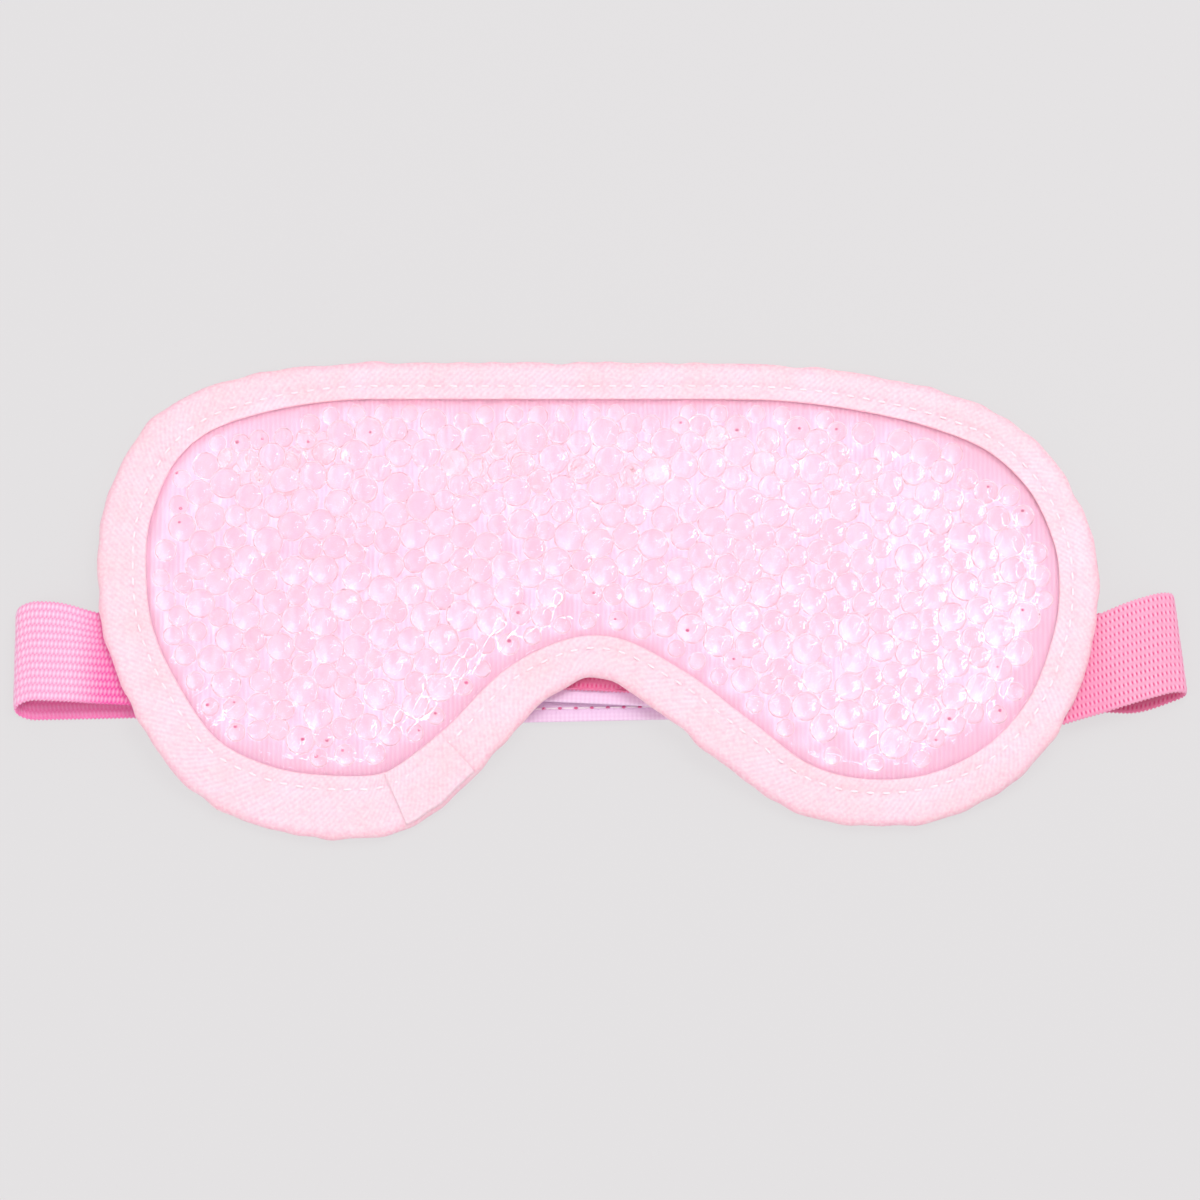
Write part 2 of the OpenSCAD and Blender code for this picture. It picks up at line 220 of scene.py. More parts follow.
# ---------------------------------------------------------------- materials

def linear(rgb):
    """Linear colour of an sRGB one given from 0 to 255."""
    c = np.array(rgb) / 255
    return tuple(np.where(c <= 0.04045, c / 12.92, ((c + 0.055) / 1.055) ** 2.4)) + (1,)


# Sockets of a Mix node for colours: its share, its two inputs and its result
MIX_SHARE, MIX_A, MIX_B, MIX_OUT = 0, 6, 7, 2


class Graph:
    """Nodes of one material; an input is a value or the output of another node."""

    def __init__(self, name):
        self.material = bpy.data.materials.new(name)
        self.material.use_nodes = True
        self.nodes = self.material.node_tree.nodes
        self.links = self.material.node_tree.links

    def feed(self, node, inputs):
        for socket, value in inputs.items():
            if isinstance(value, bpy.types.NodeSocket):
                self.links.new(value, node.inputs[socket])
            else:
                node.inputs[socket].default_value = value

    def add(self, kind, inputs, output=0, **settings):
        node = self.nodes.new(kind)
        for setting, value in settings.items():
            setattr(node, setting, value)
        self.feed(node, inputs)
        return node.outputs[output]

    def noise(self, size, detail, distortion=0.0):
        """Noise fixed to the object, with grains about size mm across."""
        place = self.add("ShaderNodeTexCoord", {}, "Object")
        return self.add("ShaderNodeTexNoise", {"Vector": place, "Scale": 1000 / size,
                                               "Detail": detail, "Distortion": distortion}, "Fac")

    def spread(self, value, low, high, most=1.0):
        """Value stretched from between low and high to between 0 and most."""
        return self.add("ShaderNodeMapRange", {"Value": value, "From Min": low,
                                               "From Max": high, "To Max": most}, "Result")

    def math(self, operation, *terms):
        return self.add("ShaderNodeMath", dict(enumerate(terms)), operation=operation)

    def colours(self, share, first, second, blend="MIX"):
        return self.add("ShaderNodeMix", {MIX_SHARE: share, MIX_A: first, MIX_B: second}, MIX_OUT,
                        data_type="RGBA", blend_type=blend)

    def shaders(self, share, first, second):
        return self.add("ShaderNodeMixShader", {0: share, 1: first, 2: second})

    def bump(self, height, strength, distance):
        return self.add("ShaderNodeBump", {"Height": height, "Strength": strength,
                                           "Distance": distance * MM}, "Normal")


def fabric(name, valley, crest, tint=None, tint_share=0.35, rough=0.85, sheen=0.25, grain=0.25,
           bump=0.12, grain_size=0.35, patch_size=14):
    """Cloth whose colour follows its relief, with yarn grain and patches of another tint."""
    graph = Graph(name)
    relief = graph.add("ShaderNodeAttribute", {}, "Fac", attribute_name="relief")
    woven = graph.colours(relief, linear(valley), linear(crest))
    patches = graph.spread(graph.noise(patch_size, 2), 0.35, 0.7, tint_share)
    tinted = graph.colours(patches, woven, linear(tint or valley))
    yarn = graph.noise(grain_size, 3)
    graph.feed(graph.nodes["Principled BSDF"], {
        "Base Color": graph.colours(grain, tinted, yarn, blend="OVERLAY"),
        "Normal": graph.bump(yarn, 0.6, bump),
        "Roughness": rough,
        "Sheen Weight": sheen,
        "Sheen Roughness": 0.5,
        "Specular IOR Level": 0.25,
    })
    return graph.material


LEAST_GLOSS = 0.035  # share of gloss where a film is seen straight on
CLOUD_SIZE = 7  # mm across the milky patches


def see_through(name, colour, rough, ior=None, milk=0.0, milk_and_arc_colour=(255, 240, 250), rim=0.5,
                rim_painted_highlight=0.0, cloud=0.0, ripple_size=2.2, ripple_height=0.05):
    """Clear stuff with a share of milk and optional painted highlight arcs round its rims; it lets
    lamps shine through to what is under it.
    """
    graph = Graph(name)
    graph.nodes.remove(graph.nodes["Principled BSDF"])
    uneven = graph.noise(ripple_size, 2, distortion=1.2)
    rippled = graph.bump(uneven, 0.8, ripple_height)
    facing = graph.add("ShaderNodeLayerWeight", {"Blend": 0.5}, "Facing")
    steep = graph.math("POWER", facing, 4)
    clear = graph.add("ShaderNodeBsdfTransparent", {"Color": linear(colour)})
    if ior:
        body = graph.add("ShaderNodeBsdfGlass", {"Color": linear(colour), "Roughness": rough,
                                                 "IOR": ior, "Normal": rippled})
    else:
        gloss = graph.add("ShaderNodeBsdfGlossy", {"Roughness": rough, "Normal": rippled})
        body = graph.shaders(graph.math("MULTIPLY_ADD", steep, rim, LEAST_GLOSS), clear, gloss)
    # An even share of milk and a few clouded patches; the broken white arcs round the rims, where
    # they are seen edge-on, are a painted highlight
    arcs = graph.math("MULTIPLY", steep, graph.spread(uneven, 0.38, 0.56))
    rim_share = graph.math("MULTIPLY_ADD", arcs, rim_painted_highlight, milk)
    clouds = graph.spread(graph.noise(CLOUD_SIZE, 3), 0.5, 0.68, cloud)
    milk_and_painted_arc_white = graph.add("ShaderNodeBsdfDiffuse", {"Color": linear(milk_and_arc_colour)})
    milk_and_painted_arcs = graph.shaders(graph.math("ADD", rim_share, clouds), body, milk_and_painted_arc_white)
    shadow = graph.add("ShaderNodeLightPath", {}, "Is Shadow Ray")
    graph.feed(graph.nodes["Material Output"], {"Surface": graph.shaders(shadow, milk_and_painted_arcs, clear)})
    return graph.material


BINDING = fabric("binding_twill", (248, 194, 210), (249, 224, 237), tint=(251, 206, 214),
                 tint_share=0.55, grain=0.5, grain_size=0.7, patch_size=9)
THREAD = fabric("thread", (250, 224, 236), (255, 244, 250), rough=0.55, sheen=0.4, grain=0.1,
                grain_size=0.15, bump=0.04)
PINK_THREAD = fabric("pink_thread", (226, 96, 146), (246, 150, 190), rough=0.55, sheen=0.3,
                     grain=0.1, grain_size=0.15, bump=0.04)
KNIT = fabric("knit", (249, 206, 232), (253, 229, 245), tint=(252, 206, 226), grain=0.2,
              grain_size=0.25, bump=0.06)
LEFT_ELASTIC = fabric("left_elastic", (240, 62, 158), (255, 226, 246), tint=(253, 176, 220),
                      tint_share=0.2, rough=0.7, sheen=0.35, grain=0.25, grain_size=0.3,
                      bump=0.06)
RIGHT_ELASTIC = fabric("right_elastic", (226, 46, 122), (255, 212, 236), tint=(252, 158, 202),
                       tint_share=0.25, rough=0.7, sheen=0.35, grain=0.25, grain_size=0.3,
                       bump=0.06)
TAPE = fabric("closure_tape", (226, 178, 218), (248, 218, 244), tint=(240, 202, 236), rough=0.6,
              sheen=0.3, grain=0.15, grain_size=0.2, bump=0.04)
PORE = fabric("pore", (196, 96, 140), (214, 122, 160), rough=0.4, sheen=0, grain=0.2)
FILM = see_through("clear_film", (255, 252, 253), 0.07, milk=0.05, ripple_size=2.6,
                   ripple_height=0.16)
BACK_FILM = see_through("clear_back_film", (255, 252, 253), 0.2, milk=0.03)
# The gel's rims carry broken white arcs, a painted highlight
GEL = see_through("gel", (255, 251.6, 251), 0.0, ior=1.35, milk=0.03,
                  milk_and_arc_colour=(255, 240, 249), rim_painted_highlight=2.6, cloud=0.1, ripple_size=1.8,
                  ripple_height=0.08)


# ---------------------------------------------------------------- outline of the mask

# x, y of the forehead edge, y of the lower edge, and binding widths along each of them
STATIONS = np.array([
    [-100, 7.4, 7.4, 9.4, 9.4], [-98.5, 19.8, -7.6, 9.4, 9.4], [-93, 32.5, -21.6, 9.2, 9.8],
    [-83, 41, -36.4, 8.6, 10.4], [-69, 45.5, -44.5, 8, 11.2], [-53, 47.5, -47.5, 7.4, 11.8],
    [-38, 47.8, -45.6, 7.4, 11.4], [-24, 47.8, -35, 7.4, 10.4], [-12, 47.8, -22, 7.4, 9.4],
    [0, 47.8, -16.2, 7.4, 8], [12, 47.8, -23, 7.4, 9.2], [24, 47.6, -32.5, 7.2, 9.6],
    [38, 47.2, -41.7, 7.2, 9], [53, 45.5, -45, 7.4, 8.6], [69, 42, -43.5, 7.6, 8.6],
    [83, 36, -36.4, 7.6, 8.4], [93, 26, -24.6, 7.6, 8], [98.5, 13.4, -9.6, 7.6, 7.6],
    [100, 2.2, 2.2, 7.6, 7.6]])
EDGE_LIFT, TOP, RISE, SEAM_GAP = 0.4, 12.0, 9.0, 0.6
FILM_T, PANEL_T, TAPE_T, SLACK = 0.3, 1.0, 0.4, 0.2
BAND, SLOPES, ARCH = (-28, 6), (18, 24), 4.8
STITCH_PITCH, SEAM_INSET = 3.2, 2.4
PANEL_EDGE = TAPE_T + SLACK
FILM_EDGE = PANEL_EDGE + PANEL_T + FILM_T
BINDING_H = FILM_EDGE + FILM_T + SLACK + TAPE_T
LAYER_INSET = 0.8
LAYER_REACH = 99.15  # half length of the layers of the pouch
BINDING_STEPS, SEAM_STEPS = 1600, 2400  # places along the edge


def ease(t):
    t = np.clip(t, 0, 1)
    return t * t * (3 - 2 * t)


def edge_z(y):
    return EDGE_LIFT + (ARCH - EDGE_LIFT) * ease((y - BAND[0] + SLOPES[0]) / SLOPES[0]) \
        * ease((BAND[1] + SLOPES[1] - y) / SLOPES[1])


def dense_outline(per=60):
    knots = np.vstack([STATIONS[:, [0, 1, 3]], STATIONS[-2:0:-1][:, [0, 2, 4]]])
    p0, p1, p2, p3 = (np.roll(knots, s, axis=0)[:, None] for s in (1, 0, -1, -2))
    t = (np.arange(per) / per)[None, :, None]
    line = 0.5 * (2 * p1 + (p2 - p0) * t + (2 * p0 - 5 * p1 + 4 * p2 - p3) * t ** 2
                  + (3 * p1 - p0 - 3 * p2 + p3) * t ** 3)
    line = line.reshape(-1, 3)
    low, high = (np.array(c)[:2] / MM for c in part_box("edge_binding"))
    least, most = line[:, :2].min(0), line[:, :2].max(0)
    line[:, :2] = low + (line[:, :2] - least) * (high - low) / (most - least)
    return line


DENSE = dense_outline()


def outline(n):
    """n places along the edge: xy, binding width, inward direction, distance and length."""
    closed = np.vstack([DENSE, DENSE[:1]])
    run = np.concatenate([[0], np.cumsum(np.hypot(*np.diff(closed[:, :2], axis=0).T))])
    at = np.arange(n) * run[-1] / n
    xy = np.stack([np.interp(at, run, closed[:, k]) for k in (0, 1)], 1)
    width = np.interp(at, run, closed[:, 2])
    along = np.roll(xy, -2, 0) - np.roll(xy, 2, 0)
    along /= np.linalg.norm(along, axis=1)[:, None]
    inward = np.stack([along[:, 1], -along[:, 0]], 1)
    return xy, width, inward, at, run[-1]


def ripple(s, total, waves, seed):
    """Smooth random wave along the closed edge, from about -1 to 1."""
    draw = np.random.default_rng(seed)
    value = np.zeros_like(s)
    for k in waves:
        value = value + draw.uniform(0.5, 1) * np.sin(2 * np.pi * (k * s / total + draw.uniform()))
    return value / math.sqrt(len(waves))


CELL = 0.5
GRID_X = np.arange(-104, 104 + CELL, CELL)
GRID_Y = np.arange(-54, 54 + CELL, CELL)


def depth_grid():
    """Distance inside the seam over the grid, and a ripple that runs out from the seam."""
    xy, width, inward, at, total = outline(720)
    seam = xy + inward * width[:, None]
    x, y = np.meshgrid(GRID_X, GRID_Y, indexing="ij")
    p = np.stack([x.ravel(), y.ravel()], 1)
    depth, wave = np.empty(len(p)), np.empty(len(p))
    crimp = ripple(at, total, (61, 74, 87, 103, 124), 3)
    for k in range(0, len(p), 8000):
        gap = p[k:k + 8000, None] - seam[None]
        square = (gap ** 2).sum(2)
        near = square.argmin(1)
        pick = np.arange(len(near))
        side = (gap[pick, near] * inward[near]).sum(1)
        depth[k:k + 8000] = np.sign(side) * np.sqrt(square[pick, near])
        wave[k:k + 8000] = crimp[near]
    return depth.reshape(x.shape), wave.reshape(x.shape)


DEPTH, CRIMP = depth_grid()


def sampled(table, x, y):
    """Bilinear value of a table over the grid."""
    u = np.clip((x - GRID_X[0]) / CELL, 0, len(GRID_X) - 1.001)
    v = np.clip((y - GRID_Y[0]) / CELL, 0, len(GRID_Y) - 1.001)
    i, j = u.astype(int), v.astype(int)
    a, b = u - i, v - j
    return (table[i, j] * (1 - a) * (1 - b) + table[i + 1, j] * a * (1 - b)
            + table[i, j + 1] * (1 - a) * b + table[i + 1, j + 1] * a * b)


def face_z(x, y):
    """Height of the top of the gel face where it lies smooth."""
    d = np.maximum(0, sampled(DEPTH, x, y) - SEAM_GAP)
    z = edge_z(y) + FILM_EDGE + FILM_T
    return z + (TOP - z) * np.sin(np.pi / 2 * np.minimum(1, d / RISE))


def panel_z(x, y):
    """Height of the underside of the back panel."""
    d = np.maximum(0, sampled(DEPTH, x, y) - SEAM_GAP)
    return edge_z(y) + PANEL_EDGE - (EDGE_LIFT + PANEL_EDGE) * ease(d / 4)


# ---------------------------------------------------------------- beads

BED_GAP = 0.1  # between the lower film and the beads on it
PORES, PORE_R = 34, (0.25, 0.42)


def relaxed(pitch, least_depth, shift, spread, gap, passes=90):
    """Irregular close packing of beads inside the seam: x, y and radius."""
    rows = np.arange(-12, 13)
    cols = np.arange(-22, 23)
    i, j = np.meshgrid(cols, rows)
    x = ((i + 0.5 * (j % 2)) * pitch + shift).ravel()
    y = (j * pitch * math.sin(math.pi / 3) + shift).ravel()
    x = x + rng.uniform(-0.7, 0.7, x.shape) * pitch
    y = y + rng.uniform(-0.7, 0.7, y.shape) * pitch
    keep = sampled(DEPTH, x, y) > least_depth - 0.6
    x, y = x[keep], y[keep]
    r = rng.uniform(*spread, len(x))
    for _ in range(passes):
        dx, dy = x[:, None] - x[None], y[:, None] - y[None]
        apart = np.hypot(dx, dy) + np.eye(len(x)) * 99
        push = np.maximum(0, r[:, None] + r[None] + gap - apart) / apart * 0.35
        x = x + (dx * push).sum(1)
        y = y + (dy * push).sum(1)
        short = np.maximum(0, least_depth - sampled(DEPTH, x, y))
        gx = sampled(DEPTH, x + 0.5, y) - sampled(DEPTH, x - 0.5, y)
        gy = sampled(DEPTH, x, y + 0.5) - sampled(DEPTH, x, y - 0.5)
        size = np.hypot(gx, gy) + 1e-6
        x, y = x + short * gx / size, y + short * gy / size
    return x, y, r


def bead_layers():
    """Centres and radii of the upper and lower beads."""
    x, y, r = relaxed(5.3, 3.3, 0.4, (2.0, 3.3), -0.35)
    slope = (face_z(x + 0.5, y) - face_z(x - 0.5, y)) ** 2 \
        + (face_z(x, y + 0.5) - face_z(x, y - 0.5)) ** 2
    r = np.minimum(r, 0.2 + 0.5 * sampled(DEPTH, x, y))
    z = face_z(x, y) - FILM_T - 0.12 - r * np.sqrt(1 + slope) - rng.uniform(0, 0.35, len(x))
    bed = panel_z(x, y) + PANEL_T + FILM_T + BED_GAP
    z = np.maximum(z, bed + r * 0.98)
    upper = np.stack([x, y, z, r], 1)
    x, y, r = relaxed(5.2, 8.5, 1.9, (2.2, 2.5), 0.05)
    bed = panel_z(x, y) + PANEL_T + FILM_T + BED_GAP
    z = bed + r
    room = np.full(len(x), 99.0)
    for k in range(len(x)):
        away = np.hypot(upper[:, 0] - x[k], upper[:, 1] - y[k])
        near = away < upper[:, 3] + r[k]
        if near.any():
            reach = np.sqrt((upper[near, 3] + r[k]) ** 2 - away[near] ** 2)
            room[k] = (upper[near, 2] - reach).min() - z[k]
    keep = room > -0.35
    return upper, np.stack([x, y, z, r], 1)[keep]


def ball():
    mesh = bmesh.new()
    bmesh.ops.create_icosphere(mesh, subdivisions=3, radius=1)
    points = np.array([v.co[:] for v in mesh.verts])
    faces = np.array([[v.index for v in f.verts] for f in mesh.faces])
    mesh.free()
    return points, faces


UPPER, LOWER = bead_layers()


def beads(name, centres, squeeze):
    """Slightly irregular gel balls."""
    template, faces = ball()
    count = len(centres)
    axes = np.zeros((count, 3, 3))
    turn = rng.uniform(0, 2 * np.pi, count)
    wide = centres[:, 3] * rng.uniform(0.98, 1.03, count)
    tall = centres[:, 3] * squeeze
    axes[:, 0, 0], axes[:, 0, 1] = np.cos(turn) * wide, np.sin(turn) * wide
    axes[:, 1, 0], axes[:, 1, 1] = -np.sin(turn) * wide, np.cos(turn) * wide
    axes[:, 2, 2] = tall
    points, all_faces = copies(template, faces, centres[:, :3], axes)
    thing = piece(name, points, all_faces, GEL)
    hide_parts("gel_beads")
    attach(thing, "mask")


def bubbles():
    """Small dark pores in the beads round the margin of the gel."""
    near = UPPER[(sampled(DEPTH, UPPER[:, 0], UPPER[:, 1]) < 9) & (UPPER[:, 1] < 36)]
    chosen = near[rng.permutation(len(near))[:PORES]]
    template, faces = ball()
    size = rng.uniform(*PORE_R, len(chosen))
    axes = np.eye(3)[None] * size[:, None, None] * np.array([1, 0.85, 0.5])[:, None]
    place = chosen[:, :3] + rng.uniform(-1, 1, (len(chosen), 3)) * np.array([1, 1, 0])
    drop = np.hypot(place[:, 0] - chosen[:, 0], place[:, 1] - chosen[:, 1])
    place[:, 2] = chosen[:, 2] + np.sqrt(chosen[:, 3] ** 2 - drop ** 2) - 0.3
    points, all_faces = copies(template, faces, place, axes)
    thing = piece("gel_pores", points, all_faces, PORE, relief=np.full(len(points), 0.5))
    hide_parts("gel_beads")
    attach(thing, "mask")


# ---------------------------------------------------------------- layers of the pouch

def edge_span(x, inset):
    """Lowest and highest y of the layers at each x."""
    xy, _, inward, _, _ = outline(SEAM_STEPS)
    line = xy + inward * inset
    split = np.interp(line[:, 0], STATIONS[[0, -1], 0], STATIONS[[0, -1], 1])
    top, low = line[line[:, 1] > split], line[line[:, 1] <= split]
    top, low = top[top[:, 0].argsort()], low[low[:, 0].argsort()]
    return np.interp(x, low[:, 0], low[:, 1]), np.interp(x, top[:, 0], top[:, 1])


def layer(name, x, rows, under, over, material, relief=None):
    """Closed thin layer on columns of points across the mask."""
    low, high = edge_span(x, LAYER_INSET)
    t = np.linspace(0, 1, rows)[None]
    gx = np.repeat(x[:, None], rows, 1)
    gy = low[:, None] + (high - low)[:, None] * t
    cols = len(x)
    top = np.stack([gx, gy, over(gx, gy)], -1).reshape(-1, 3)
    bottom = np.stack([gx, gy, under(gx, gy)], -1).reshape(-1, 3)
    r, c = grid_corners(cols, rows)
    faces = r * rows + c
    rim = np.concatenate([np.arange(cols) * rows, (cols - 1) * rows + np.arange(1, rows),
                          (np.arange(cols)[::-1][1:]) * rows + rows - 1,
                          np.arange(rows)[::-1][1:-1]])
    after = np.roll(rim, -1)
    count = cols * rows
    sides = np.stack([rim, after, after + count, rim + count], 1)
    value = None
    if relief is not None:
        value = np.concatenate([relief(gx, gy).ravel()] * 2)
    all_faces = np.vstack([faces, faces[:, ::-1] + count, sides[:, ::-1]])
    return piece(name, np.vstack([top, bottom]), all_faces, material, relief=value)


def film_top(x, y):
    """The front film clings to the beads and crimps along the seam."""
    flat_x, flat_y = x.ravel(), y.ravel()
    nearest = np.empty(len(flat_x))
    for k in range(0, len(flat_x), 10000):
        gap = np.hypot(flat_x[k:k + 10000, None] - UPPER[None, :, 0],
                       flat_y[k:k + 10000, None] - UPPER[None, :, 1])
        nearest[k:k + 10000] = gap.min(1)
    nearest = nearest.reshape(x.shape)
    d = sampled(DEPTH, x, y)
    sag = 0.85 * ease(nearest / 3.4) * ease((d - 1.5) / 5)
    crimp = 0.16 * sampled(CRIMP, x, y) * ease((d + 0.4) / 2) * ease((9 - d) / 7)
    return face_z(x, y) - sag + crimp - 0.05


KNIT_RIB, KNIT_ROW, KNIT_DEPTH = 0.95, 1.3, 0.12


def knit_relief(x, y):
    """Ribs of the knit, and its rows of stitches."""
    rib = 0.5 + 0.5 * np.cos(2 * np.pi * x / KNIT_RIB)
    row = 0.5 + 0.5 * np.cos(2 * np.pi * (y / KNIT_ROW + 0.5 * np.floor(x / KNIT_RIB + 0.5)))
    return 0.75 * rib + 0.25 * rib * row


def pouch():
    x = LAYER_REACH * np.sin(np.linspace(-np.pi / 2, np.pi / 2, 460))
    front = layer("clear_front", x, 170, lambda a, b: film_top(a, b) - FILM_T, film_top, FILM)
    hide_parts("front_film")
    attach(front, "mask")

    def back_low(a, b):
        return panel_z(a, b) + PANEL_T

    x = LAYER_REACH * np.sin(np.linspace(-np.pi / 2, np.pi / 2, 240))
    back = layer("clear_back", x, 80, back_low, lambda a, b: back_low(a, b) + FILM_T, BACK_FILM)
    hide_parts("back_film")
    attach(back, "mask")

    x = np.arange(-99.1, 99.11, 0.2375)
    knit = layer("knit_back", x, 64,
                 lambda a, b: panel_z(a, b) + KNIT_DEPTH * (1 - knit_relief(a, b)),
                 lambda a, b: panel_z(a, b) + PANEL_T - KNIT_DEPTH * (1 - knit_relief(a, b)),
                 KNIT, relief=knit_relief)
    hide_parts("back_panel")
    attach(knit, "mask")


# ---------------------------------------------------------------- binding and its seam

LIP_R = 0.3  # of the turned-in lip
TWILL_PITCH = 1.3
LAP_FROM = 22  # the lap begins at this point of the section, low on its outer side


def binding_section(width):
    """Outer side of the binding: distance inwards and height, for each place along the edge."""
    r = BINDING_H / 2
    stitch = width - SEAM_INSET
    bottom = np.linspace(1, 0.03, 12)
    turn = np.linspace(-np.pi / 2, np.pi / 2, 13)
    top = np.linspace(0.03, 1, 30)
    a, b = [], []
    for t in bottom:
        a.append(r + (width - r) * t)
        b.append(-0.05 * np.sin(np.pi * t) + 0 * width)
    for t in turn:
        a.append(r - 1.1 * r * np.cos(t) + 0 * width)
        b.append(r + r * np.sin(t) + 0 * width)
    for t in top:
        q = r + (width - r) * t
        crown = 0.42 * np.sin(np.pi * np.clip((q - r) / (stitch - r), 0, 1)) ** 1.25
        lip = 0.14 * np.sin(np.pi * np.clip((q - stitch) / SEAM_INSET, 0, 1))
        dip = -0.12 * np.exp(-((q - stitch) / 0.5) ** 2)
        a.append(q)
        b.append(BINDING_H + crown + lip + dip)
    return np.stack(a, 1), np.stack(b, 1)


def twill(u, v):
    """Slanting ribs of the twill, from 0 to 1."""
    return 0.74 + 0.16 * np.cos(2 * np.pi * (u + v) / TWILL_PITCH)


def binding_surface(n, lift=0.0):
    xy, width, inward, at, total = outline(n)
    a, b = binding_section(width)
    da, db = np.gradient(a, axis=1), np.gradient(b, axis=1)
    size = np.hypot(da, db)
    na, nb = -db / size, da / size
    girth = np.cumsum(size, axis=1) - size[:, :1]
    u, v = at[:, None] + 0 * a, girth
    rib = twill(u, v)
    stitch = width[:, None] - SEAM_INSET
    above = ease((b - 1.0) / 1.0)
    pitch = total / round(total / STITCH_PITCH)
    hole = 0.5 + 0.5 * np.cos(2 * np.pi * at[:, None] / pitch)
    pull = np.exp(-((a - stitch) / 1.3) ** 2) * hole ** 3
    slant = np.sin(2 * np.pi * (u * 0.9 + v * 1.1) / 7.5)
    left_lobe = np.exp(-((xy[:, :1] + 62) / 30) ** 2) * ease(-(xy[:, 1:] + 4) / 18)
    folds = left_lobe * np.maximum(0, slant) ** 2 * np.sin(np.pi * np.clip(a / stitch, 0, 1))
    soft = ripple(u + 1.7 * v, total, (37, 52, 71, 96), 5)
    out = 0.09 * (rib - 0.7) - 0.2 * pull * above + 0.28 * folds * above + 0.05 * soft + lift
    out = out * np.where(b < 0.4, 0.4, 1)
    edge = 0.22 * ripple(at, total, (23, 34, 47, 66, 90), 9)[:, None] * (1 - ease(a / 3))
    a, b = a + na * out + edge, b + nb * out
    place = xy[:, None] + inward[:, None] * a[..., None]
    z = edge_z(place[..., 1]) + b
    return np.concatenate([place, z[..., None]], -1), rib, u, v, total, a, b


def binding(lap):
    n = BINDING_STEPS
    outer, rib, _, v, total, a, _ = binding_surface(n)
    xy, width, inward, at, _ = outline(n)
    # The turned-in lip, then the tape's inner side round the layers to the bottom edge
    turn = np.linspace(np.pi / 2, -np.pi / 2, 8)[1:]
    lip_a = width[:, None] + LIP_R * np.cos(turn) - 0.05
    lip_b = BINDING_H - LIP_R + LIP_R * np.sin(turn) + 0 * lip_a
    inner_a = np.stack([width - 0.4, width - 2.5, 0 * width + 2.0, 0 * width + 0.75,
                        0 * width + 0.55, 0 * width + 0.75, 0 * width + 2.0, width - 2.5,
                        width - 0.3, width], 1)
    high = BINDING_H - TAPE_T
    inner_b = np.array([high - 0.18, high, high, high, (high + TAPE_T) / 2, TAPE_T, TAPE_T,
                        TAPE_T, TAPE_T, 0.2])[None] + 0 * inner_a
    inner_a, inner_b = np.hstack([lip_a, inner_a]), np.hstack([lip_b, inner_b])
    place = xy[:, None] + inward[:, None] * inner_a[..., None]
    inner = np.concatenate([place, (edge_z(place[..., 1]) + inner_b)[..., None]], -1)
    points = np.concatenate([outer, inner], 1)
    cols = points.shape[1]
    # Round the rolled outer edge the colour falls to the pinker valley tone, as painted shade on
    # the roll
    relief = np.concatenate([rib * ease((a + 0.6) / 2.8), 0 * inner_a + 0.4], 1)
    r, c = grid_corners(n, cols, close_rows=True, close_cols=True)
    faces = (r % n) * cols + c % cols
    run = np.append(at, total)
    across = np.concatenate([v[0], v[0, -1] + 0.5 * np.arange(1, cols - v.shape[1] + 2)])
    uv = np.stack([run[r], across[c]], -1) * MM
    thing = piece("bound_edge", points, faces, BINDING, uv=uv, relief=relief)
    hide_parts("edge_binding")
    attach(thing, "mask")


def seam_places(n):
    """Middle and direction of every stitch of the seam."""
    xy, width, inward, _, _ = outline(n)
    line = xy + inward * (width - SEAM_INSET)[:, None]
    closed = np.vstack([line, line[:1]])
    run = np.concatenate([[0], np.cumsum(np.hypot(*np.diff(closed, axis=0).T))])
    number = int(run[-1] // STITCH_PITCH)
    at = (np.arange(number) + 0.5) * run[-1] / number
    x, y = np.interp(at, run, closed[:, 0]), np.interp(at, run, closed[:, 1])
    ahead = (at + 0.6) % run[-1]
    behind = (at - 0.6) % run[-1]
    dx = np.interp(ahead, run, closed[:, 0]) - np.interp(behind, run, closed[:, 0])
    dy = np.interp(ahead, run, closed[:, 1]) - np.interp(behind, run, closed[:, 1])
    return x, y, np.arctan2(dy, dx)


def seam(name, lift, length, replaced):
    x, y, turn = seam_places(SEAM_STEPS)
    turn = turn + rng.normal(0, 0.05, len(turn))
    rise = edge_z(y + 0.5 * np.sin(turn)) - edge_z(y - 0.5 * np.sin(turn))
    along = np.stack([np.cos(turn), np.sin(turn), rise], 1)
    along /= np.linalg.norm(along, axis=1)[:, None]
    side = np.stack([-np.sin(turn), np.cos(turn), 0 * turn], 1)
    axes = np.stack([along, side, np.cross(along, side)], 1)
    centres = np.stack([x, y, edge_z(y) + lift], 1)
    template, faces = capsule(length, 0.24)
    points, all_faces = copies(template, faces, centres, axes)
    thing = piece(name, points, all_faces, THREAD, relief=np.full(len(points), 0.8))
    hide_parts(replaced)
    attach(thing, "mask")


# ---------------------------------------------------------------- elastic straps

ELASTIC_W, ELASTIC_T = 20.0, 1.0
FOLD_X, FOLD_R, SEWN_X = 114.4, 2.4, 89.0
STACK = 4.0
RIGHT_Z = STACK - ELASTIC_T
LOOP_TURN = 31.6  # the pattern on both ribbons is counted from the end of the fold
JOIN_X = 88.0  # where the loop meets the tail under the mask
INNER_PAINTED_SHADE = 0.42  # the inner face of the elastic is painted a deeper pink, as painted shade inside the loop and under the mask
RAMP = (66.0, 94.0)
STRAPS = {
    "left": dict(side=-1, run_y=(-12.0, -10.9), tail_y=-14.4, turn=1.2, reach=34, split=-40,
                 bulge=1.3, dip=1.7, slip=4),
    "right": dict(side=1, run_y=(-16.4, -9.0), tail_y=-14.2, turn=2.7, reach=17, split=46,
                  bulge=1.2, dip=0.8, slip=12),
}
CLOSURE_W, CLOSURE_BASE = 25.0, 0.4
LOOP_LENGTH, HOOK_LENGTH, SELVEDGE = 62.0, 50.0, 2.0


ELASTIC_PITCH = 1.5  # between the rows of the weave
ELASTIC_DEPTH = 0.16  # of the weave, and of the loops along the selvedges


